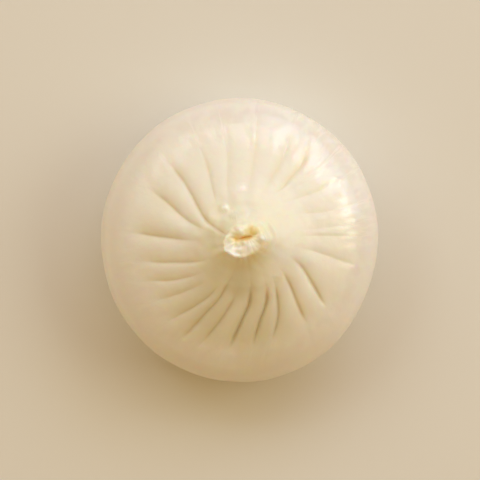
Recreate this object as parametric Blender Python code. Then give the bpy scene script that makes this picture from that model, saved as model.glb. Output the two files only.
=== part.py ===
# A soup dumpling: one gathered bun of dough standing on a flat base. Its top is drawn into fine
# swirled pleats that run up a short neck to a puckered knot, whose lip leaves a small slit open.
import bmesh
import bpy
import math
from mathutils import Vector

# Driving sizes, in metres
RADIUS = 0.0300            # mean half-width at the widest place
HEIGHT = 0.0330            # from the base to the top of the lip
OVAL = 0.011               # how much longer the bun is along Y, as a share of its radius
FLAT_SIDE = 0.020          # how far one side is pressed in, as a share of its radius
FLAT_SIDE_ANGLE = 338.0    # degrees
FLAT_SIDE_SPREAD = 16.0    # degrees
KNOT_SHIFT = Vector((0.0009, -0.0003, 0.0))

# Half a section through the bun: share of RADIUS, share of HEIGHT, from base rim to lip
SECTION = (
    (0.740, 0.000), (0.875, 0.055), (0.968, 0.170), (1.000, 0.325), (0.969, 0.482),
    (0.910, 0.558), (0.830, 0.612), (0.740, 0.655), (0.573, 0.724), (0.407, 0.786),
    (0.290, 0.839), (0.210, 0.885), (0.158, 0.930), (0.152, 0.957), (0.160, 0.980),
)
SECTION_ROWS = 25
WIDEST = 3                 # the section's widest point; pleats lie above it

# The pleats' valleys: angle well out on the bun, angle near the neck, depth, where it fades out
VALLEYS = (
    (3.0, 5.5, 0.40, 0.80), (9.5, 13.5, 0.25, 0.80), (19.0, 31.0, 0.35, 0.84),
    (33.0, 45.0, 0.40, 0.78), (43.5, 52.5, 0.20, 0.74), (53.0, 59.0, 0.80, 0.82),
    (65.5, 70.0, 0.70, 0.84), (83.0, 86.0, 0.50, 0.84), (100.5, 109.0, 0.45, 0.78),
    (115.0, 124.5, 0.55, 0.76), (134.0, 147.0, 0.85, 0.78), (151.5, 162.0, 0.85, 0.79),
    (176.0, 179.0, 0.80, 0.80), (192.0, 203.0, 0.60, 0.75), (203.5, 217.0, 0.60, 0.76),
    (215.0, 226.5, 0.55, 0.76), (228.5, 239.5, 0.80, 0.79), (239.5, 248.0, 0.90, 0.84),
    (249.5, 261.0, 0.85, 0.82), (264.0, 277.0, 1.00, 0.80), (275.0, 295.0, 1.00, 0.78),
    (287.5, 306.0, 0.80, 0.78), (308.0, 320.5, 0.80, 0.77), (323.0, 339.5, 0.85, 0.78),
    (348.5, 354.0, 0.40, 0.84),
)
OUTER_SHARE = 0.713        # share of RADIUS at which a valley has its first angle
INNER_SHARE = 0.357        # and its second
PLEAT_STEPS = (0.0, 0.10, 0.28, 0.50, 0.72, 0.90)
PLEAT_DEPTH = 0.0012       # valley to crest, for a depth of 1
CREST_SHARE = 0.4          # how much of the depth stands above the plain section
NECK_DEPTH = 0.35          # share of the depth left on the neck
FADE = 0.12                # share of RADIUS over which a valley runs out

# The knot and its mouth
KNOT_WIDE = 0.98           # the knot's half-width along X, as a share of the section's radius
KNOT_DEEP = 0.74           # and along Y
KNOT_TOP = 0.33            # share of RADIUS inside which the knot takes its oval shape
# What makes the knot lumpy: how many lobes, their size as a share, and their turn in radians
LOBES = ((9, 0.060, 0.4), (5, 0.045, 2.1), (3, 0.030, 1.2))
MOUTH_SHIFT = Vector((0.0002, 0.0008, 0.0))
MOUTH_LENGTH = 0.0020
MOUTH_WIDTH = 0.0006
MOUTH_TILT = math.radians(12.0)
# Rows from the lip into the mouth: share of the way to the slit, share of HEIGHT
MOUTH_ROWS = ((0.18, 0.996), (0.42, 1.000), (0.72, 0.988), (0.95, 0.958), (1.00, 0.925))
MOUTH_FLOOR = 0.915


def smoothstep(low, high, value):
    t = min(max((value - low) / (high - low), 0.0), 1.0)
    return t * t * (3.0 - 2.0 * t)


def catmull_rom(a, b, c, d, t):
    return tuple(
        0.5 * (2.0 * q + (r - p) * t + (2.0 * p - 5.0 * q + 4.0 * r - s) * t * t
               + (3.0 * q - p - 3.0 * r + s) * t ** 3)
        for p, q, r, s in zip(a, b, c, d)
    )


def section_point(share):
    """A point of the smooth section, share running from 0 at the base rim to 1 at the lip."""
    spans = len(SECTION) - 1
    span = min(int(share * spans), spans - 1)
    picks = [min(max(span + step, 0), spans) for step in (-1, 0, 1, 2)]
    radius, height = catmull_rom(*(SECTION[pick] for pick in picks), share * spans - span)
    return radius, max(height, 0.0)


def valley_angle(valley, share):
    """The angle of a valley at a share of the radius: it turns faster near the neck."""
    outer, inner = valley[0], valley[1]
    t = max((OUTER_SHARE - share) / (OUTER_SHARE - INNER_SHARE), -0.3)
    turn = t + 0.7 * max(t - 0.6, 0.0) ** 2
    return outer + (inner - outer) * turn / (1.0 + 0.7 * 0.4 ** 2)


def valley_depth(valley, share):
    """How deep a valley is at a share of the radius."""
    depth, reach = valley[2], valley[3]
    outward = 1.0 - smoothstep(reach - FADE, reach, share)
    inward = NECK_DEPTH + (1.0 - NECK_DEPTH) * smoothstep(0.18, 0.42, share)
    return PLEAT_DEPTH * depth * outward * inward


def outline_share(angle):
    """The bun's outline at an angle in degrees, as a share of RADIUS."""
    away = (angle - FLAT_SIDE_ANGLE + 180.0) % 360.0 - 180.0
    pressed = FLAT_SIDE * math.exp(-(away / FLAT_SIDE_SPREAD) ** 2)
    return 1.0 - OVAL * math.cos(math.radians(2.0 * angle)) - pressed


def bun_point(row, column, normals):
    """The place of a vertex of the bun, on one row of the section and one column of the pleats."""
    radius, height = section_point(row / (SECTION_ROWS - 1))
    pleat, step = divmod(column, len(PLEAT_STEPS))
    here = VALLEYS[pleat]
    after = VALLEYS[(pleat + 1) % len(VALLEYS)]
    share = radius if height > SECTION[WIDEST][1] else 1.0
    start = valley_angle(here, share)
    gap = (valley_angle(after, share) - start) % 360.0
    u = PLEAT_STEPS[step]
    angle = math.radians(start + gap * u)

    depth = valley_depth(here, share) * (1.0 - u) + valley_depth(after, share) * u
    lift = depth * (math.sin(math.pi * u) ** 0.7 - 1.0 + CREST_SHARE)
    out, up = normals[row]
    oval = smoothstep(0.45, 0.95, share)
    across = RADIUS * radius * (1.0 + (outline_share(math.degrees(angle)) - 1.0) * oval) + lift * out
    place = Vector((math.cos(angle), math.sin(angle), 0.0)) * across
    knot = 1.0 - smoothstep(0.17, KNOT_TOP, radius)
    pucker = 1.0 + knot * sum(size * math.sin(count * angle + turn) for count, size, turn in LOBES)
    place.x *= (1.0 + (KNOT_WIDE - 1.0) * knot) * pucker
    place.y *= (1.0 + (KNOT_DEEP - 1.0) * knot) * pucker
    place.z = HEIGHT * height + lift * up
    return place + KNOT_SHIFT * (1.0 - smoothstep(0.6, 1.0, radius))


def mouth_point(row, lip):
    """A vertex of the lip's inner side: it closes from the lip's edge on to a slanting slit."""
    inward, height = MOUTH_ROWS[row]
    around = math.atan2(lip.y - KNOT_SHIFT.y, lip.x - KNOT_SHIFT.x) - MOUTH_TILT
    along = MOUTH_LENGTH * math.cos(around)
    across = MOUTH_WIDTH * math.sin(around)
    slit = KNOT_SHIFT + MOUTH_SHIFT + Vector((
        along * math.cos(MOUTH_TILT) - across * math.sin(MOUTH_TILT),
        along * math.sin(MOUTH_TILT) + across * math.cos(MOUTH_TILT),
        0.0,
    ))
    place = lip.lerp(slit, inward)
    place.z = HEIGHT * height
    return place


def section_normals():
    """The section's outward direction at each row, as (outward, upward)."""
    points = [section_point(row / (SECTION_ROWS - 1)) for row in range(SECTION_ROWS)]
    normals = []
    for row in range(SECTION_ROWS):
        low = points[max(row - 1, 0)]
        high = points[min(row + 1, SECTION_ROWS - 1)]
        run = (high[0] - low[0]) * RADIUS
        rise = (high[1] - low[1]) * HEIGHT
        length = math.hypot(run, rise)
        normals.append((rise / length, -run / length))
    return normals


def spun_bun(columns):
    """A plain turned bun: the section and the rows of the mouth, spun about Z."""
    bm = bmesh.new()
    row_layer = bm.verts.layers.int.new("row")
    points = [section_point(row / (SECTION_ROWS - 1)) for row in range(SECTION_ROWS)]
    lip = points[-1][0]
    points += [(lip * (1.0 - 0.15 * (row + 1)), height) for row, (_, height) in enumerate(MOUTH_ROWS)]
    points.append((0.0, MOUTH_FLOOR))
    chain = [bm.verts.new((RADIUS * radius, 0.0, HEIGHT * height)) for radius, height in points]
    for row, vertex in enumerate(chain):
        vertex[row_layer] = row
    edges = [bm.edges.new(pair) for pair in zip(chain, chain[1:])]
    bmesh.ops.spin(bm, geom=chain + edges, cent=(0.0, 0.0, 0.0), axis=(0.0, 0.0, 1.0),
                   angle=2.0 * math.pi, steps=columns, use_merge=True)
    bmesh.ops.remove_doubles(bm, verts=bm.verts, dist=1e-7)
    rim = [edge for edge in bm.edges if edge.is_boundary]
    bmesh.ops.holes_fill(bm, edges=rim, sides=0)
    return bm, row_layer


def shape_bun(bm, row_layer, columns):
    """Moves every vertex of the turned bun on to the pleats, the knot and the mouth."""
    normals = section_normals()
    grid = {}
    centre = None
    for vertex in bm.verts:
        row = vertex[row_layer]
        if row == SECTION_ROWS + len(MOUTH_ROWS):
            centre = vertex
            continue
        turn = math.atan2(vertex.co.y, vertex.co.x) / (2.0 * math.pi)
        grid[row, round(turn * columns) % columns] = vertex
    for column in range(columns):
        for row in range(SECTION_ROWS):
            grid[row, column].co = bun_point(row, column, normals)
        lip = grid[SECTION_ROWS - 1, column].co.copy()
        for row in range(len(MOUTH_ROWS)):
            grid[SECTION_ROWS + row, column].co = mouth_point(row, lip)
    centre.co = KNOT_SHIFT + MOUTH_SHIFT + Vector((0.0, 0.0, HEIGHT * MOUTH_FLOOR))


def centre_on_axis(bm):
    """Puts the middle of the bun's box on the Z axis, with the base at z = 0."""
    lows = [min(vertex.co[axis] for vertex in bm.verts) for axis in range(3)]
    highs = [max(vertex.co[axis] for vertex in bm.verts) for axis in range(3)]
    shift = Vector((-(lows[0] + highs[0]) / 2.0, -(lows[1] + highs[1]) / 2.0, -lows[2]))
    bmesh.ops.translate(bm, vec=shift, verts=bm.verts)


def dough_material():
    material = bpy.data.materials.new("dough")
    material.use_nodes = True
    shader = material.node_tree.nodes["Principled BSDF"]
    shader.inputs["Base Color"].default_value = (0.80, 0.66, 0.44, 1.0)
    shader.inputs["Roughness"].default_value = 0.45
    shader.inputs["Metallic"].default_value = 0.0
    return material


def build_dumpling():
    columns = len(VALLEYS) * len(PLEAT_STEPS)
    bm, row_layer = spun_bun(columns)
    shape_bun(bm, row_layer, columns)
    centre_on_axis(bm)
    bmesh.ops.recalc_face_normals(bm, faces=bm.faces)
    mesh = bpy.data.meshes.new("dumpling")
    bm.to_mesh(mesh)
    bm.free()
    mesh.shade_smooth()
    mesh.materials.append(dough_material())
    dumpling = bpy.data.objects.new("dumpling", mesh)
    collection = bpy.data.collections.new("Soup dumpling")
    bpy.context.scene.collection.children.link(collection)
    collection.objects.link(dumpling)


def main():
    for old in list(bpy.data.objects):
        bpy.data.objects.remove(old, do_unlink=True)
    build_dumpling()


main()
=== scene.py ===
# A steamed soup dumpling: swirled pleats, a short neck and a puckered knot with broth in its mouth.
import math
import bmesh
import bpy
from mathutils import Matrix, Vector, noise


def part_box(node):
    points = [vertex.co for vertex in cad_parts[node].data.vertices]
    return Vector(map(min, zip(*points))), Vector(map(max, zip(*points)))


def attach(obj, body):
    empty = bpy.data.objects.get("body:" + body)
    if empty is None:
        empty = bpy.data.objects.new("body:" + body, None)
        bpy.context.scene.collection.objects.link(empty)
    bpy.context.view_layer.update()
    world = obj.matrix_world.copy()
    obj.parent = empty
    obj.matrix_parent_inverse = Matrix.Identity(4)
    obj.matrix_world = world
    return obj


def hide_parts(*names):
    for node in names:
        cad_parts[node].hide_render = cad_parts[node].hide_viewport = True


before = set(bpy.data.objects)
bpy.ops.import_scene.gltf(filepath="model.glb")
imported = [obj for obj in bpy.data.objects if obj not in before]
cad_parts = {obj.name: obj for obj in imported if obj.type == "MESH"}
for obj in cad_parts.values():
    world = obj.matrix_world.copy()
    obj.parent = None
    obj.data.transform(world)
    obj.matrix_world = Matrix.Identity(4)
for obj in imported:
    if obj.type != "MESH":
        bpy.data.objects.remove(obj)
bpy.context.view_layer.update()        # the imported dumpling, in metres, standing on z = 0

mm = 0.001
bunLow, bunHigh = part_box("dumpling")
bunRadius = (bunHigh.x - bunLow.x + bunHigh.y - bunLow.y) / 4
bunHeight = bunHigh.z - bunLow.z


def smoothstep(low, high, value):
    # 0 up to low, 1 from high on; low may be the larger
    t = min(max((value - low) / (high - low), 0.0), 1.0)
    return t * t * (3 - 2 * t)


def mix(a, b, t):
    return a + (b - a) * t


def hill(distance, width):
    return math.exp(-(distance / width) ** 2)


def turnBetween(a, b):
    # degrees from a to b, between -180 and 180
    return (b - a + 180) % 360 - 180


def facing(angle, side):
    # 1 on one side of the bun, falling off round it; a side is its angle and its width, in degrees
    middle, wide = side
    return hill(turnBetween(middle, angle), wide)


def catmullRom(a, b, c, d, t):
    square = 2 * a - 5 * b + 4 * c - d
    cube = 3 * b - a - 3 * c + d
    return 0.5 * (2 * b + (c - a) * t + square * t * t + cube * t ** 3)


def neighbours(items, place):
    # the item before a place, the one there and the two after it
    return [items[min(max(place + step, 0), len(items) - 1)] for step in (-1, 0, 1, 2)]


def around(degrees):
    return Vector((math.cos(math.radians(degrees)), math.sin(math.radians(degrees)), 0))


def bumpiness(place, size, seed=(0, 0, 0)):
    return noise.noise(place / size + Vector(seed))


body = {
    # half a section: share of the radius, share of the height, rows of faces up to the next point
    "section": (
        (0.740, 0.000, 5), (0.875, 0.055, 7), (0.968, 0.170, 9), (1.000, 0.325, 8), (0.969, 0.482, 9),
        (0.910, 0.558, 12), (0.830, 0.612, 14), (0.740, 0.655, 22), (0.573, 0.724, 20), (0.407, 0.786, 15),
        (0.290, 0.839, 12), (0.210, 0.885, 8), (0.160, 0.930, 5), (0.153, 0.957, 4), (0.160, 0.978, 0),
    ),
    "widest": 0.325,            # share of the height
    "oval": 0.011,              # longer along Y by this share
    "pressed": 0.020,           # one side is pressed in by this share
    "pressedSide": (338, 16),   # its angle and its width, in degrees
    "centred": (0.6, 1.0),      # between these shares of the radius, its middle moves over from the knot's
    "knotAt": Vector((0.9, -0.3, 0)) * mm,
    "sag": 0.22 * mm,           # slow unevenness of the dough
    "sagSize": 11 * mm,
    "dimple": 0.05 * mm,        # small unevenness of the wet skin
    "dimpleSize": 1.7 * mm,
    "dimpleSeed": (7, 3, 1),
    "dimpleRim": 0.3,           # what is left of it at the rim
    "collarBump": 0.34 * mm,    # lumps round the neck, most on one side
    "collarBumpSize": 1.9 * mm,
    "collarBumpSeed": (2, 9, 4),
    "collarBumpSide": (120, 50),
    "collarBumpElsewhere": 0.2,
    "collarBumpEnd": (0.28, 0.42),
    # single lumps: place from the knot's middle, size and height, all in mm
    "lumps": ((-0.65, 11.2, 0.80, 0.17), (-4.0, 6.8, 0.75, 0.20), (-2.1, 5.2, 0.90, 0.18)),
    "lumpWet": 8.0,             # how wet they are for each mm of height
    # tan spots, partly where the filling tints the dough through its thinness and partly painted shade on
    # the shaded lower side and left of the knot: place, size in mm, strength
    "thin": (
        (-6.3, 0.8, 2.0, 0.50), (-0.9, -8.6, 4.4, 0.92), (-5.2, -6.6, 3.4, 0.60), (-7.0, -14.5, 8.0, 0.60),
        (2.5, -18.0, 7.5, 0.70),
    ),
    "shoulder": 0.81,           # share of the radius at which the wet shoulder lies, and how wide it is
    "shoulderWide": 0.15,
    "wetSide": (54, 55),
    "wetElsewhere": 0.25,
    "wrinkle": 0.11 * mm,       # fine wrinkles along the pleats of the wet shoulder
    "wrinkleWide": 1.3 * mm,
    "wrinkleLong": 6.0 * mm,
    "wrinkleEnd": (0.80, 0.94),
    "baseFlat": 0.12,           # up to this share of the height, the unevenness dies out towards the base
    "baseRows": (0.25, 0.6, 0.9),              # rows of vertices under it, as shares of the base
    "baseOutward": 1.2,         # how far out the base counts for the colours, where the widest level is 1
}

pleats = {
    # valleys: their angles from far out to the neck, depth of the groove, strength of the crease in it,
    # and the shares of the radius where they begin and end
    "valleys": (
        (3.0, 4.0, 5.0, 6.0, 0.28, 0.15, 0.84, 0.44),
        (9.3, 9.6, 11.0, 18.0, 0.22, 0.06, 0.86, 0.45),
        (19.0, 20.7, 27.0, 37.5, 0.32, 0.10, 0.90, 0.34),
        (33.0, 35.7, 41.7, 50.0, 0.38, 0.25, 0.82, 0.40),
        (43.5, 45.0, 50.0, 57.0, 0.10, 0.03, 0.76, 0.50),
        (53.2, 53.7, 56.0, 64.0, 0.95, 0.30, 0.88, 0.42),
        (65.7, 66.0, 68.0, 73.0, 0.75, 0.04, 0.91, 0.40),
        (83.2, 83.8, 84.6, 88.0, 0.50, 0.03, 0.90, 0.38),
        (100.5, 101.8, 106.3, 114.0, 0.42, 0.18, 0.80, 0.36),
        (115.0, 116.8, 121.5, 130.0, 0.48, 0.28, 0.77, 0.34),
        (134.0, 136.4, 142.3, 155.0, 0.68, 0.58, 0.78, 0.12),
        (151.7, 154.5, 160.0, 165.0, 0.72, 0.40, 0.79, 0.34),
        (176.0, 177.0, 178.3, 180.0, 0.82, 0.55, 0.81, 0.40),
        (192.0, 195.0, 200.0, 208.0, 0.55, 0.45, 0.75, 0.32),
        (203.3, 208.5, 214.0, 222.0, 0.62, 0.35, 0.77, 0.42),
        (215.2, 219.3, 224.5, 230.0, 0.55, 0.28, 0.77, 0.42),
        (228.3, 232.7, 238.3, 241.0, 0.80, 0.50, 0.80, 0.38),
        (239.5, 242.0, 246.7, 250.0, 0.92, 0.65, 0.86, 0.28),
        (249.5, 253.7, 259.0, 264.0, 0.88, 0.60, 0.83, 0.38),
        (263.8, 267.7, 275.0, 279.5, 1.40, 1.30, 0.80, 0.34),
        (275.9, 281.2, 291.8, 299.5, 1.15, 1.30, 0.78, 0.38),
        (287.0, 294.8, 302.0, 312.0, 0.86, 0.78, 0.78, 0.38),
        (307.7, 310.7, 317.0, 325.5, 0.74, 0.80, 0.77, 0.36),
        (322.5, 327.9, 336.8, 344.0, 0.76, 0.95, 0.78, 0.38),
        (348.7, 350.6, 353.0, 356.0, 0.34, 0.22, 0.86, 0.46),
    ),
    "shares": (0.712, 0.569, 0.427, 0.240),    # where the four angles hold
    "twist": 60,                # degrees more for each share of the radius inside the last one
    "lean": 0.7,                # outside the first one, how much of the first turn a valley goes on with
    "steps": 18,                # columns of faces in a pleat
    "crowd": 0.125,             # crowds the columns towards the valleys
    "groove": 0.115,            # depth of a groove, as a share of a pleat's width
    "grooveMost": 0.62 * mm,
    "grooveWide": 0.29,         # as a share of a pleat's width, and how much wider it gets far out
    "grooveWiden": 1.5,
    "grooveRound": 1.4,         # the power that rounds its sides
    "ridge": 0.3,               # how much the dough swells between grooves, as a share of their depth
    "crease": 0.22 * mm,        # depth and half-width of the fine crease in a groove
    "creaseWide": 0.50 * mm,
    "creaseRoom": 2.5 * mm,     # in pleats narrower than this, creases are shallower
    # how softly they begin and end, in shares of the radius: inside and outside the place where they begin,
    # and inside and outside the place where they end
    "grooveSoft": (0.16, 0.06, 0.12, 0.10),
    "creaseSoft": (0.14, -0.01, 0.05, 0.09),
    "widenSoft": (0.20, 0.05),                 # and where a groove gets wider, beside the place it begins at
    "grainRound": 20,           # the skin's grain runs along the pleats: its coordinates round the bun
    "grainLong": 4.0 * mm,      # and along a pleat
}

knot = {
    # lobes of the lip: angle of the groove before it, how far out it reaches and its height, both in mm,
    # and where its crest is, as a share of the way to the mouth
    "lobes": (
        (-14, 4.55, -0.65, 0.30), (25, 4.20, -0.62, 0.50), (65, 3.70, -0.82, 0.60),
        (98, 3.75, -0.68, 0.60), (150, 4.30, -0.55, 0.25), (192, 4.85, -0.35, 0.08),
        (216, 4.05, -0.30, 0.08), (250, 3.45, -0.30, 0.12), (282, 3.15, -0.35, 0.16),
        (312, 3.60, -0.55, 0.24),
    ),
    "groove": 0.10,             # depth of the grooves between lobes, mm
    "grooveTop": 0.7,           # how much of it is left on top of the lip
    "grooveWide": 8,            # degrees
    "taken": (0.17, 0.33),      # between these shares of the bun's radius the knot's outline takes over
    "collar": 0.83,             # share of the height above which the neck bends to the lip's height
    "flare": 1.1,               # how far the neck widens below the lip, mm, on the side where it has no step
    "flareSide": (35, 95),
    "flareFoot": (0.30, 0.19),  # the shares of the radius over which it widens
    "ramp": 1.1,                # how far the dough is heaped up against the neck, mm, on the same side
    "rampSide": (0, 70),
    "rampFoot": (0.52, 0.23),
    "rampTop": (0.152, 0.215),
    "rows": 16,                 # rows of faces from the lip's outer edge to the mouth
    "rowsCrowd": 1.1,           # crowds them towards the edge
    "outward": 0.1,             # how far out the lip counts for the colours
    "edgeDrop": 0.45,           # the outer edge, below the crest, mm
    "edgeRound": 0.1,           # rounds it where the crest is near the edge
    "innerDrop": 0.42,          # the slope into the mouth, and the steep last part of it, mm
    "innerRound": 1.3,
    "mouthDrop": 0.45,
    "mouthRound": 8,
    "level": 0.6,               # how much of the lobes' height is lost on the way to the mouth
    "edgeRidge": 0.45,          # a curled-up edge on one side, mm
    "edgeRidgeSide": (226, 34),
    "edgeRidgeAt": 0.06,        # share of the way to the mouth, and how wide
    "edgeRidgeWide": 0.14,
    # lumps and hollows of the lip: place from the knot's middle, size and height, mm
    "bumps": (
        (-0.20, -0.05, 0.52, 0.50), (-1.20, 2.60, 0.85, 0.60), (3.65, 0.60, 0.85, 0.50),
        (-2.90, -1.80, 0.80, 0.20), (-0.80, -1.70, 0.60, 0.18), (1.60, -1.20, 0.80, 0.18),
        (1.60, 1.90, 1.25, -0.50), (-1.75, 0.42, 0.75, -0.44), (-1.80, -1.20, 0.55, -0.22),
    ),
    "bumpsEnd": (1.0, 0.85),    # shares of the way to the mouth over which they die out
    "crumple": 0.10 * mm,
    "crumpleSize": 0.85 * mm,
    "crumpleEnd": 1.08,         # how much sooner than the lip it ends
    "proud": 0.25 * mm,         # how far the lip may stand above the plain height
    # where broth has stained the dough, with painted shade under the lip and beside the neck, and where the
    # dough is lightest, partly paler dough and partly painted light: place and size in mm, and strength
    "soaked": (
        (1.60, 1.85, 1.20, 1.00), (-1.70, 0.35, 0.85, 1.00), (3.90, -1.80, 1.20, 0.40),
        (0.45, 0.75, 0.80, 1.00), (1.70, -3.10, 1.10, 0.30),
    ),
    # lightest spots: partly paler dough, partly painted light on the lit lower lip, a painted glint right of
    # the mouth and painted light against the shadow beside the neck
    "palest": (
        (-2.40, -1.20, 2.10, 1.00), (0.90, -1.30, 1.90, 0.90), (-1.20, 2.60, 0.90, 0.90),
        (3.65, 0.60, 0.95, 1.00), (7.60, -2.40, 4.00, 1.00), (12.60, -3.40, 3.50, 0.70),
        (-12.90, 3.40, 2.60, 0.70), (-11.50, 11.50, 3.00, 0.60), (0.20, 7.00, 4.00, 0.35),
    ),
    "palestRows": (-2, 1),      # the rows of the lip over which the paler colour and painted light come in
    # where the lip is wet enough to glint
    "glossy": (
        (-4.0, -1.9, 0.9, 2.0), (-2.5, -2.7, 0.9, 2.0), (-0.8, -3.2, 0.8, 2.0), (3.6, 0.6, 0.9, 2.0),
        (1.6, 1.8, 1.1, 1.2),
    ),
    "damp": 0.35,               # how wet the rest of it is
    "grain": 1.2 * mm,          # size of the wet patches on the lip
    "mouthAt": Vector((0.30, 0.78, 0)) * mm,
    "mouthLong": 1.08 * mm,
    "mouthEnds": (0.06 * mm, 0.20 * mm),       # its half-width at its closed end and at its open end
    "mouthTilt": 12,
    "mouthStainedAndShaded": 0.80,       # share of the way to the mouth from which broth stains the lip and painted shade darkens the slit
    "mouthFloor": 1.5 * mm,     # below the top of the lip
    "mouthWall": 0.55,          # how far the row above the floor has closed in on its middle
    "mouthRise": 0.1 * mm,      # and how far above the floor it is
}

columnCount = pleats["steps"] * len(pleats["valleys"])
mouthPlace = body["knotAt"] + knot["mouthAt"]
mouthTurn = Matrix.Rotation(math.radians(knot["mouthTilt"]), 3, "Z")


def valleyAngle(valley, share):
    # where a valley lies, in degrees, at a share of the radius
    angles = valley[:4]
    stops = pleats["shares"]
    if share >= stops[0]:
        out = min((share - stops[0]) / (stops[0] - stops[1]), 1.0)
        return angles[0] + pleats["lean"] * (angles[0] - angles[1]) * out
    if share <= stops[-1]:
        return angles[-1] + pleats["twist"] * (stops[-1] - share)
    place = max(index for index, stop in enumerate(stops[:-1]) if stop >= share)
    t = (stops[place] - share) / (stops[place] - stops[place + 1])
    return catmullRom(*neighbours(angles, place), t)


def valleyFade(valley, share, soft):
    # 1 between the places where a valley begins and ends, and 0 beyond them
    begin, end = valley[-2:]
    beginInside, beginOutside, endInside, endOutside = soft
    outer = 1 - smoothstep(begin - beginInside, begin + beginOutside, share)
    return outer * smoothstep(end - endInside, end + endOutside, share)


def grooveWiden(valley, share):
    begin = valley[-2]
    inside, outside = pleats["widenSoft"]
    return mix(1, pleats["grooveWiden"], smoothstep(begin - inside, begin + outside, share))


def sectionStep(start, end):
    # the way from one row of the section to another, outwards and upwards
    share = end["share"] - start["share"]
    height = end["height"] - start["height"]
    return Vector((share * bunRadius, height * bunHeight))


def sectionRows():
    # the rows of the bun's plain section: size, height, outward direction, and each valley's place in it
    points = body["section"]
    rows = []
    for place, (_, _, count) in enumerate(points):
        picks = neighbours(points, place)
        for step in range(max(count, 1)):
            t = step / max(count, 1)
            share = catmullRom(*(pick[0] for pick in picks), t)
            height = max(catmullRom(*(pick[1] for pick in picks), t), 0)
            rows.append({"share": share, "height": height})
    length = 0
    for place, row in enumerate(rows):
        before = rows[max(place - 1, 0)]
        after = rows[min(place + 1, len(rows) - 1)]
        along = sectionStep(before, after)
        row["out"] = along.y / along.length
        row["up"] = -along.x / along.length
        length += sectionStep(before, row).length
        row["length"] = length
        row["upper"] = row["height"] > body["widest"]
        row["pleatShare"] = row["share"] if row["upper"] else 1.0
        addValleys(row)
    return rows


def addValleys(row):
    # where the valleys cross a row, how wide the pleats are there, and how deep the valleys still are
    share = row["pleatShare"]
    valleys = pleats["valleys"]
    angles = [valleyAngle(valley, share) for valley in valleys]
    gaps = [(angles[(index + 1) % len(angles)] - angles[index - 1]) % 360 for index in range(len(angles))]
    row["angles"] = angles
    row["arcs"] = [math.radians(gap / 2) * share * bunRadius for gap in gaps]
    row["grooves"] = [valley[4] * valleyFade(valley, share, pleats["grooveSoft"]) for valley in valleys]
    row["creases"] = [valley[5] * valleyFade(valley, share, pleats["creaseSoft"]) for valley in valleys]
    row["widths"] = [grooveWiden(valley, share) for valley in valleys]


def outlineShare(angle):
    # the bun's outline from above, as a share of its radius
    pressed = body["pressed"] * facing(angle, body["pressedSide"])
    return 1 - body["oval"] * math.cos(math.radians(2 * angle)) - pressed


def lobeAt(angle):
    # the lip at an angle: its reach and height in mm, its crest, and how near a groove it is
    lobes = knot["lobes"]
    for place, (start, reach, height, crest) in enumerate(lobes):
        wide = (lobes[(place + 1) % len(lobes)][0] - start) % 360
        into = (angle - start) % 360
        if into < wide:
            break
    v = into / wide
    side = lobes[place - 1] if v < 0.5 else lobes[(place + 1) % len(lobes)]
    share = 0.5 * (1 - smoothstep(0, 0.5, min(v, 1 - v)))
    split = hill(min(into, wide - into), knot["grooveWide"])
    return mix(reach, side[1], share), mix(height, side[2], share), mix(crest, side[3], share), split


def softSpots(place, spots):
    # how much each of some soft spots counts at a place; they are placed from the knot's middle, in mm
    local = (place - body["knotAt"]) / mm
    return [strength * hill(math.hypot(local.x - x, local.y - y), size) for x, y, size, strength in spots]


def heaped(place, spots):
    return sum(softSpots(place, spots))


def strongest(place, spots):
    return max(softSpots(place, spots))


def grooveLift(row, pleat, u, arc):
    # what the valleys beside a place in a pleat do to it: how far they lift it, how deep in a groove it lies
    # and how near a crease; arc is the pleat's width
    lift = groove = crease = 0
    after = (pleat + 1) % len(pleats["valleys"])
    for away, index in ((u, pleat), (1 - u, after)):
        room = row["arcs"][index]
        deepest = min(pleats["groove"] * room, pleats["grooveMost"])
        wide = pleats["grooveWide"] * row["widths"][index]
        shape = math.exp(-(away / wide) ** pleats["grooveRound"])
        line = row["creases"][index] * hill(away * arc, pleats["creaseWide"])
        groove += row["grooves"][index] * shape
        crease += line
        lift += row["grooves"][index] * deepest * (pleats["ridge"] * (1 - away) - shape)
        lift -= pleats["crease"] * min(1, room / pleats["creaseRoom"]) * line
    return lift, groove, crease


def neckReach(row, angle, knotted, across):
    # how far out the neck is, on its way from the bun's outline to the knot's
    reach, _, _, split = lobeAt(angle)
    lipShare, lipHeight, _ = body["section"][-1]
    lobed = (reach - knot["groove"] * split * knotted) * mm * row["share"] / lipShare
    flare = knot["flare"] * mm * smoothstep(*knot["flareFoot"], row["share"])
    below = (lipHeight - row["height"]) * bunHeight
    return mix(across, lobed, knotted) + min(below, flare) * facing(angle, knot["flareSide"])


def neckHeight(row, angle, knotted, height):
    # heaps the dough up against the neck on one side, and bends the collar to the lip's height
    heap = smoothstep(*knot["rampFoot"], row["share"]) * smoothstep(*knot["rampTop"], row["share"])
    height += knot["ramp"] * mm * heap * facing(angle, knot["rampSide"])
    collar = knot["collar"] * bunHeight
    if knotted > 0 and height > collar:
        lipHeight = bunHeight + lobeAt(angle)[1] * mm
        height = collar + (height - collar) * (lipHeight - collar) / (bunHeight - collar)
    return height


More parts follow.
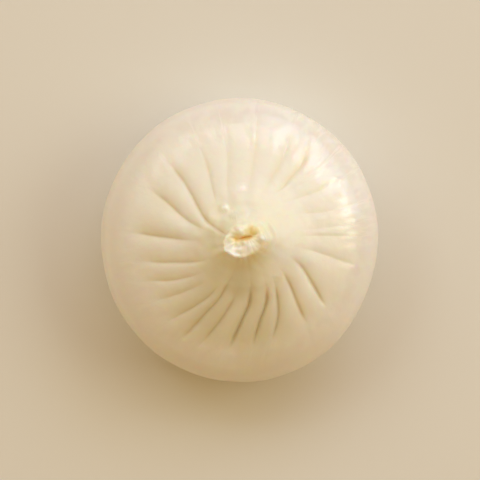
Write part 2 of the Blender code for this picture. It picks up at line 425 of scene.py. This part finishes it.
def skinWave(row, angle, place, spread, knotted):
    # the skin's unevenness at a place, and how wet it is there
    wave = bumpiness(place, body["sagSize"]) * body["sag"] * (1 - knotted)
    dimple = body["dimple"] * mix(1, body["dimpleRim"], spread)
    wave += bumpiness(place, body["dimpleSize"], body["dimpleSeed"]) * dimple
    lumps = heaped(place, body["lumps"])
    wave += lumps * mm
    wet = body["lumpWet"] * lumps
    if row["upper"]:
        collar = mix(body["collarBumpElsewhere"], 1, facing(angle, body["collarBumpSide"]))
        collar *= body["collarBump"] * (1 - smoothstep(*body["collarBumpEnd"], row["share"]))
        wave += bumpiness(place, body["collarBumpSize"], body["collarBumpSeed"]) * collar
        shoulder = mix(body["wetElsewhere"], 1, facing(angle, body["wetSide"]))
        shoulder *= hill(row["share"] - body["shoulder"], body["shoulderWide"])
        wet += shoulder
        along = around(angle) * (bunRadius / body["wrinkleWide"])
        along.z = row["length"] / body["wrinkleLong"]
        smooth = 1 - smoothstep(*body["wrinkleEnd"], row["share"])
        wave += noise.noise(along) * body["wrinkle"] * shoulder * smooth
    return wave * smoothstep(0, body["baseFlat"], row["height"]), wet


def bodyPoint(row, pleat, u):
    # a vertex of the bun below the lip: its place, how deep in a groove it lies, how near a crease, how wet
    start = row["angles"][pleat]
    gap = (row["angles"][(pleat + 1) % len(pleats["valleys"])] - start) % 360
    angle = start + gap * u
    radius = row["share"] * bunRadius
    lift, groove, crease = grooveLift(row, pleat, u, math.radians(gap) * radius)

    spread = smoothstep(*body["centred"], row["pleatShare"])
    across = radius * mix(1, outlineShare(angle), spread)
    knotted = (1 - smoothstep(*knot["taken"], row["share"])) if row["upper"] else 0
    if knotted > 0:
        across = neckReach(row, angle, knotted, across)
    place = around(angle) * (across + lift * row["out"])
    place.z = row["height"] * bunHeight + lift * row["up"]
    if row["upper"]:
        place.z = neckHeight(row, angle, knotted, place.z)
    place += body["knotAt"] * (1 - spread)

    wave, wet = skinWave(row, angle, place, spread, knotted)
    place += around(angle) * wave * row["out"]
    place.z += wave * row["up"]
    return place, min(groove, 1), min(crease, 1), wet


def lipPoint(place, lip, angle):
    # a vertex of the lip, on its way from the outer edge over the crest and down to the mouth
    inward = ((place + 1) / knot["rows"]) ** knot["rowsCrowd"]
    _, height, crest, split = lobeAt(angle)
    turn = math.radians(angle - knot["mouthTilt"])
    wide = mix(*knot["mouthEnds"], 0.5 + 0.5 * math.cos(turn))
    mouthEdge = Vector((knot["mouthLong"] * math.cos(turn), wide * math.sin(turn), 0))
    point = lip.lerp(mouthTurn @ mouthEdge + mouthPlace, inward)

    fall = max(inward - crest, 0) / (1 - crest)
    drop = knot["edgeDrop"] * (max(crest - inward, 0) / (crest + knot["edgeRound"])) ** 2
    drop += knot["innerDrop"] * fall ** knot["innerRound"] + knot["mouthDrop"] * fall ** knot["mouthRound"]
    curl = facing(angle, knot["edgeRidgeSide"]) * hill(inward - knot["edgeRidgeAt"], knot["edgeRidgeWide"])
    drop -= knot["edgeRidge"] * curl
    middle = math.sin(math.pi * min(inward * knot["crumpleEnd"], 1))
    drop += knot["grooveTop"] * knot["groove"] * split * middle

    point.z = bunHeight + (height * (1 - knot["level"] * inward) - drop) * mm
    point.z += heaped(point, knot["bumps"]) * mm * smoothstep(*knot["bumpsEnd"], inward)
    point.z += knot["crumple"] * bumpiness(point, knot["crumpleSize"]) * middle
    point.z = min(point.z, bunHeight + knot["proud"])
    return point


def spunBun(rows):
    # a plain turned bun, spun about Z, with every vertex's row kept in a layer; its top is flat for now
    bm = bmesh.new()
    rowLayer = bm.verts.layers.int.new("row")
    baseShare = rows[0]["share"]
    lipShare = rows[-1]["share"]
    topRows = knot["rows"] + 2
    points = [(0, 0)] + [(baseShare * share, 0) for share in body["baseRows"]]
    firstRow = len(points)
    points += [(row["share"], row["height"]) for row in rows]
    points += [(lipShare * (1 - place / topRows), 1) for place in range(1, topRows + 1)]
    chain = [bm.verts.new((bunRadius * share, 0, bunHeight * height)) for share, height in points]
    for place, vertex in enumerate(chain):
        vertex[rowLayer] = place
    edges = [bm.edges.new(pair) for pair in zip(chain, chain[1:])]
    bmesh.ops.spin(bm, geom=chain + edges, cent=(0, 0, 0), axis=(0, 0, 1), angle=2 * math.pi,
                   steps=columnCount, use_merge=True)
    bmesh.ops.remove_doubles(bm, verts=bm.verts, dist=1e-7)
    return bm, rowLayer, firstRow


def paint(vertex, layers, **values):
    # keeps values on a vertex, for the dough's material
    for name, value in values.items():
        vertex[layers[name]] = value


def shapeBody(column, rows, chain, layers):
    # places one column of vertices from the base's edge to the lip's
    pleat, step = divmod(column, pleats["steps"])
    t = step / pleats["steps"]
    u = t - pleats["crowd"] * math.sin(2 * math.pi * t)
    grain = around(360 * column / columnCount) * pleats["grainRound"]
    for row, vertex in zip(rows, chain):
        vertex.co, groove, crease, wet = bodyPoint(row, pleat, u)
        outward = row["share"] if row["upper"] else mix(body["baseOutward"], 1, row["share"])
        grain.z = row["length"] / pleats["grainLong"]
        # groove and crease also carry the painted shade of the grooves and creases
        paint(vertex, layers, groove=groove, crease=crease, wet=wet, outward=outward, grain=grain)
        # the spots painted below are partly painted shade (the tan and broth-stained spots) and partly
        # painted light (the lightest spots)
        if row["upper"]:
            paint(vertex, layers, soaked=strongest(vertex.co, knot["soaked"]),
                  palest=strongest(vertex.co, knot["palest"]), thin=strongest(vertex.co, body["thin"]))


def shapeBase(edge, chain, layers):
    # draws one column under the base out to its finished edge
    plainRadius = bunRadius * body["section"][0][0]
    for vertex in chain:
        vertex.co *= edge.co.length / plainRadius
        paint(vertex, layers, outward=body["baseOutward"])


def shapeLip(edge, chain, layers):
    # places one column of vertices on the lip
    out = edge.co - body["knotAt"]
    angle = math.degrees(math.atan2(out.y, out.x)) % 360
    for place, vertex in enumerate(chain):
        vertex.co = lipPoint(place, edge.co, angle)
        # the broth stain and painted shade of the slit come in towards the mouth
        stainedAndShaded = smoothstep(knot["mouthStainedAndShaded"], 1.0, (place + 1) / knot["rows"])
        # the lightest spots are partly painted light
        pale = strongest(vertex.co, knot["palest"]) * smoothstep(*knot["palestRows"], place)
        paint(vertex, layers, mouth=stainedAndShaded, palest=pale, outward=knot["outward"],
              wet=max(strongest(vertex.co, knot["glossy"]), knot["damp"]),
              soaked=strongest(vertex.co, knot["soaked"]), grain=vertex.co / knot["grain"])


def makeWrapper():
    rows = sectionRows()
    bm, rowLayer, firstRow = spunBun(rows)
    lipRow = firstRow + len(rows)
    wallRow = lipRow + knot["rows"]
    names = ("groove", "crease", "outward", "wet", "thin", "soaked", "palest", "mouth")
    layers = {name: bm.verts.layers.float.new(name) for name in names}
    layers["grain"] = bm.verts.layers.float_vector.new("grain")
    grid = {}
    for vertex in bm.verts:
        turn = math.atan2(vertex.co.y, vertex.co.x) / (2 * math.pi) if vertex.co.xy.length > 1e-6 else 0
        grid[vertex[rowLayer], round(turn * columnCount) % columnCount] = vertex

    floorMiddle = mouthPlace + Vector((0, 0, bunHeight - knot["mouthFloor"]))
    for column in range(columnCount):
        chain = [grid[row, column] for row in range(1, wallRow + 1)]
        base, chain = chain[:firstRow - 1], chain[firstRow - 1:]
        side, lip, wall = chain[:len(rows)], chain[len(rows):-1], chain[-1]
        shapeBody(column, rows, side, layers)
        shapeBase(side[0], base, layers)
        shapeLip(side[-1], lip, layers)
        wall.co = lip[-1].co.lerp(floorMiddle, knot["mouthWall"])
        wall.co.z = floorMiddle.z + knot["mouthRise"]
        paint(wall, layers, mouth=1)
    middle = grid[wallRow + 1, 0]
    middle.co = floorMiddle
    paint(middle, layers, mouth=1)

    bmesh.ops.recalc_face_normals(bm, faces=bm.faces)
    return finishedPiece(bm, "wrapper")


def finishedPiece(bm, name):
    mesh = bpy.data.meshes.new(name)
    bm.to_mesh(mesh)
    bm.free()
    mesh.shade_smooth()
    piece = bpy.data.objects.new(name, mesh)
    bpy.context.scene.collection.objects.link(piece)
    return piece


broth = {
    "size": Vector((1.22, 0.50, 0.20)) * mm,
    "segments": 48,
    "rings": 24,
    "below": 1.42 * mm,         # its middle, below the top of the lip
    "uneven": 0.03 * mm,
    "unevenSize": 0.6 * mm,
    "deep": (0.80, 0.52, 0.16, 1),
    "bright": (0.88, 0.64, 0.24, 1),
    "patchFrom": (0.35, 0.65),
    "patchScale": 700,
    "grainScale": 2500,
    "grainShare": 0.3,
    "roughness": 0.25,
    "shine": 0.6,
    "shineRoughness": 0.08,
    "bump": 0.3,
    "bumpHeight": 0.1 * mm,
}


def makeBroth():
    # the broth that stands in the mouth, a flat drop with a rounded top
    bm = bmesh.new()
    bmesh.ops.create_uvsphere(bm, u_segments=broth["segments"], v_segments=broth["rings"], radius=1)
    bmesh.ops.scale(bm, vec=broth["size"], verts=bm.verts)
    for vertex in bm.verts:
        vertex.co.z += broth["uneven"] * bumpiness(vertex.co, broth["unevenSize"])
    bmesh.ops.rotate(bm, cent=(0, 0, 0), matrix=mouthTurn, verts=bm.verts)
    middle = mouthPlace + Vector((0, 0, bunHeight - broth["below"]))
    bmesh.ops.translate(bm, vec=middle, verts=bm.verts)
    bmesh.ops.recalc_face_normals(bm, faces=bm.faces)
    return finishedPiece(bm, "mouthBroth")


dough = {
    "middle": (0.935, 0.920, 0.735, 1),       # round the neck
    "flank": (0.910, 0.900, 0.830, 1),
    "rim": (0.886, 0.870, 0.860, 1),
    "low": (0.925, 0.885, 0.820, 1),          # the side of the rim, warmer: painted warm bounce light
    # how far out each of them comes in: the widest level is 1, and the base is more
    "flankFrom": (0.14, 0.50),
    "rimFrom": (0.65, 0.96),
    "rimBounceFrom": (0.93, 1.02),
    # paler dough, also used for painted light
    "pale": (0.940, 0.930, 0.880, 1),
    # tan tint: partly dough tinted by the filling, partly painted shade on the shaded lower side and beside
    # the knot
    "thinTint": (0.720, 0.680, 0.510, 1),
    # golden broth stain, partly painted shade beside the neck and under the lip
    "soakedTint": (0.930, 0.750, 0.300, 1),
    # orange-brown in the slit: broth colour and painted shade in its depth
    "mouthStainAndShadeTint": (0.850, 0.600, 0.220, 1),
    # painted shade: darker, browner dough in the grooves, where light is trapped
    "grooveShadeTint": (0.872, 0.812, 0.620, 1),
    "grooveShadeFrom": (0.1, 1.0),
    "grooveShadeShare": 0.6,                       # how strong the painted groove shade is at most
    # painted shade along the fine creases
    "creaseShadeTint": (0.675, 0.570, 0.345, 1),
    "creaseShadeFrom": (0.1, 0.9),
    "creaseShadeShare": 0.62,
    "patchFrom": (0.35, 0.65),                # the skin's paler patches
    "patchShare": 0.25,
    "patchScale": 130,
    "grainScale": 1100,
    "grainShare": 0.4,
    "roughness": (0.34, 0.50),
    "roughnessFrom": (0.3, 0.7),
    "subsurface": 0.8,
    "subsurfaceRadius": (1.0, 0.62, 0.34),
    "subsurfaceScale": 2.4 * mm,
    "streaksFrom": (0.30, 0.62),              # streaks in the wet film, and how wet they leave it
    "streaks": (0.35, 1.4),
    "filmFrom": (0.1, 0.9),
    "film": (0.1, 1.0),
    "wetRoughness": 0.23,
    "wetIndex": 2.0,                          # a film of broth and oil, glossier than water
    "bump": 0.3,
    "bumpHeight": 0.3 * mm,
}


def newMaterial(name):
    material = bpy.data.materials.new(name)
    material.use_nodes = True
    nodes = material.node_tree.nodes
    return material, nodes, material.node_tree.links, nodes["Principled BSDF"]


def setInputs(node, values):
    for name, value in values.items():
        node.inputs[name].default_value = value


def mottleGroup():
    # soft unevenness shared by the dough and the broth: a colour mask and a small height
    group = bpy.data.node_groups.new("mottle", "ShaderNodeTree")
    group.interface.new_socket("Coordinates", in_out="INPUT", socket_type="NodeSocketVector")
    for name in ("Patch Scale", "Grain Scale", "Grain Share"):
        group.interface.new_socket(name, in_out="INPUT", socket_type="NodeSocketFloat")
    for name in ("Mask", "Height"):
        group.interface.new_socket(name, in_out="OUTPUT", socket_type="NodeSocketFloat")
    nodes, links = group.nodes, group.links
    start = nodes.new("NodeGroupInput")
    end = nodes.new("NodeGroupOutput")
    patches = nodes.new("ShaderNodeTexNoise")
    setInputs(patches, {"Detail": 3})
    grain = nodes.new("ShaderNodeTexNoise")
    setInputs(grain, {"Detail": 4})
    links.new(start.outputs["Coordinates"], patches.inputs["Vector"])
    links.new(start.outputs["Coordinates"], grain.inputs["Vector"])
    links.new(start.outputs["Patch Scale"], patches.inputs["Scale"])
    links.new(start.outputs["Grain Scale"], grain.inputs["Scale"])
    blend = nodes.new("ShaderNodeMix")
    links.new(start.outputs["Grain Share"], blend.inputs["Factor"])
    links.new(patches.outputs["Fac"], blend.inputs["A"])
    links.new(grain.outputs["Fac"], blend.inputs["B"])
    links.new(patches.outputs["Fac"], end.inputs["Mask"])
    links.new(blend.outputs["Result"], end.inputs["Height"])
    return group


def mottledSkin(nodes, links, mottle, settings):
    # the mottle in a piece's material, with the piece's own settings
    skin = nodes.new("ShaderNodeGroup")
    skin.node_tree = mottle
    setInputs(skin, {"Patch Scale": settings["patchScale"], "Grain Scale": settings["grainScale"],
                     "Grain Share": settings["grainShare"]})
    links.new(nodes.new("ShaderNodeTexCoord").outputs["Object"], skin.inputs["Coordinates"])
    return skin


def addBump(nodes, links, height, shader, settings):
    bump = nodes.new("ShaderNodeBump")
    setInputs(bump, {"Strength": settings["bump"], "Distance": settings["bumpHeight"]})
    links.new(height, bump.inputs["Height"])
    links.new(bump.outputs["Normal"], shader.inputs["Normal"])


def colourMix(nodes, links, factor, a, b):
    # a colour mix whose factor, a and b are values or sockets
    node = nodes.new("ShaderNodeMix")
    node.data_type = "RGBA"
    colours = [socket for socket in node.inputs if socket.type == "RGBA"]
    for socket, value in zip([node.inputs[0]] + colours, (factor, a, b)):
        if isinstance(value, (tuple, float)):
            socket.default_value = value
        else:
            links.new(value, socket)
    return next(socket for socket in node.outputs if socket.type == "RGBA")


def mapRange(nodes, links, value, fromEnds, toEnds):
    # a soft step: the first pair gives its limits in the value, the second what it puts out at them
    node = nodes.new("ShaderNodeMapRange")
    node.interpolation_type = "SMOOTHSTEP"
    links.new(value, node.inputs["Value"])
    setInputs(node, dict(zip(("From Min", "From Max", "To Min", "To Max"), fromEnds + toEnds)))
    return node.outputs["Result"]


def attribute(nodes, name, output="Fac"):
    node = nodes.new("ShaderNodeAttribute")
    node.attribute_name = name
    return node.outputs[output]


def doughMaterial(mottle):
    material, nodes, links, shader = newMaterial("steamedDough")
    skin = mottledSkin(nodes, links, mottle, dough)

    def between(value, fromEnds, toEnds=(0, 1)):
        return mapRange(nodes, links, value, fromEnds, toEnds)

    outward = attribute(nodes, "outward")
    patches = between(skin.outputs["Mask"], dough["patchFrom"], (0, dough["patchShare"]))
    # painted shade in the grooves and along the creases
    groove = between(attribute(nodes, "groove"), dough["grooveShadeFrom"], (0, dough["grooveShadeShare"]))
    # painted shade along the creases
    crease = between(attribute(nodes, "crease"), dough["creaseShadeFrom"], (0, dough["creaseShadeShare"]))
    colour = dough["middle"]
    for factor, tint in (
            (between(outward, dough["flankFrom"]), dough["flank"]),
            (between(outward, dough["rimFrom"]), dough["rim"]),
            # painted warm bounce light along the side of the rim
            (between(outward, dough["rimBounceFrom"]), dough["low"]),
            (patches, dough["pale"]),
            # painted shade in the grooves
            (groove, dough["grooveShadeTint"]),
            # painted shade along the creases
            (crease, dough["creaseShadeTint"]),
            # tan dough, partly painted shade
            (attribute(nodes, "thin"), dough["thinTint"]),
            # paler dough, partly painted light
            (attribute(nodes, "palest"), dough["pale"]),
            # broth stain, partly painted shade
            (attribute(nodes, "soaked"), dough["soakedTint"]),
            # broth stain and painted shade in the slit
            (attribute(nodes, "mouth"), dough["mouthStainAndShadeTint"])):
        colour = colourMix(nodes, links, factor, colour, tint)
    links.new(colour, shader.inputs["Base Color"])

    roughness = between(skin.outputs["Mask"], dough["roughnessFrom"], dough["roughness"])
    links.new(roughness, shader.inputs["Roughness"])
    setInputs(shader, {
        "Subsurface Weight": dough["subsurface"],
        "Subsurface Radius": dough["subsurfaceRadius"],
        "Subsurface Scale": dough["subsurfaceScale"],
        "Coat Roughness": dough["wetRoughness"],
        "Coat IOR": dough["wetIndex"],
    })

    streaks = nodes.new("ShaderNodeTexNoise")
    setInputs(streaks, {"Scale": 1, "Detail": 1})
    links.new(attribute(nodes, "grain", "Vector"), streaks.inputs["Vector"])
    film = nodes.new("ShaderNodeMath")
    film.operation = "MULTIPLY"
    links.new(attribute(nodes, "wet"), film.inputs[0])
    links.new(between(streaks.outputs["Fac"], dough["streaksFrom"], dough["streaks"]), film.inputs[1])
    links.new(between(film.outputs["Value"], dough["filmFrom"], dough["film"]), shader.inputs["Coat Weight"])
    addBump(nodes, links, skin.outputs["Height"], shader, dough)
    return material


def brothMaterial(mottle):
    material, nodes, links, shader = newMaterial("goldenBroth")
    skin = mottledSkin(nodes, links, mottle, broth)
    patch = mapRange(nodes, links, skin.outputs["Mask"], broth["patchFrom"], (0, 1))
    links.new(colourMix(nodes, links, patch, broth["deep"], broth["bright"]), shader.inputs["Base Color"])
    setInputs(shader, {
        "Roughness": broth["roughness"],
        "Coat Weight": broth["shine"],
        "Coat Roughness": broth["shineRoughness"],
    })
    addBump(nodes, links, skin.outputs["Height"], shader, broth)
    return material


studio = {
    "floor": (0.80, 0.80, 0.78, 1),
    "floorRoughness": 0.7,
    "floorReach": 1.5,
    "world": (1.00, 0.50, 0.04, 1),           # warm light from all round
    "worldStrength": 0.36,
    "lightAway": 1.20,
    # soft lights: direction, height in degrees, size, power and colour
    "lights": {
        "key": (90, 45, (1.96, 0.65), 5.9, (0.93, 1.00, 1.07)),
        "low": (47, 25, (1.60, 0.60), 2.9, (0.80, 0.98, 1.30)),
        "left": (150, 42, (0.87, 0.65), 2.25, (0.92, 1.02, 0.88)),
        "right": (10, 35, (0.87, 0.65), 4.1, (0.98, 1.00, 0.80)),
        "fill": (245, 9, (1.30, 0.30), 1.2, (0.95, 1.00, 0.80)),
    },
    "cameraAway": 0.60,
    "viewWide": 0.1025,                       # what the frame takes in at the bun's widest level
    "sensor": 36,
    "nearest": 0.01,
}


def makeFloor():
    bm = bmesh.new()
    bmesh.ops.create_grid(bm, x_segments=8, y_segments=8, size=studio["floorReach"])
    floor = finishedPiece(bm, "floor")
    material, _, _, shader = newMaterial("paleFloor")
    setInputs(shader, {"Base Color": studio["floor"], "Roughness": studio["floorRoughness"]})
    floor.data.materials.append(material)


def areaLight(name, angle, high, size, power, colour):
    middle = Vector((0, 0, bunHeight / 2))
    way = around(angle) * math.cos(math.radians(high))
    way.z = math.sin(math.radians(high))
    light = bpy.data.lights.new(name, "AREA")
    light.shape = "RECTANGLE"
    light.size, light.size_y = size
    light.energy = power
    light.color = colour
    lamp = bpy.data.objects.new(name, light)
    lamp.location = middle + way * studio["lightAway"]
    lamp.rotation_euler = way.to_track_quat("Z", "Y").to_euler()
    bpy.context.scene.collection.objects.link(lamp)


def makeStudio():
    scene = bpy.context.scene
    scene.view_settings.view_transform = "Standard"
    world = bpy.data.worlds.new("studio")
    world.use_nodes = True
    setInputs(world.node_tree.nodes["Background"],
              {"Color": studio["world"], "Strength": studio["worldStrength"]})
    scene.world = world
    for name, settings in studio["lights"].items():
        areaLight(name, *settings)

    camera = bpy.data.cameras.new("camera")
    camera.sensor_width = studio["sensor"]
    camera.lens = studio["sensor"] * studio["cameraAway"] / studio["viewWide"]
    camera.clip_start = studio["nearest"]
    lookDown = bpy.data.objects.new("camera", camera)
    lookDown.location = (0, 0, body["widest"] * bunHeight + studio["cameraAway"])
    scene.collection.objects.link(lookDown)
    scene.camera = lookDown


wrapperPiece = makeWrapper()
print("wrapper:", len(wrapperPiece.data.polygons), "faces")
brothPiece = makeBroth()
print("broth:", len(brothPiece.data.polygons), "faces")
mottle = mottleGroup()
wrapperPiece.data.materials.append(doughMaterial(mottle))
brothPiece.data.materials.append(brothMaterial(mottle))
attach(wrapperPiece, "root")
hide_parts("dumpling")
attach(brothPiece, "root")
makeFloor()
makeStudio()
print("studio ready")
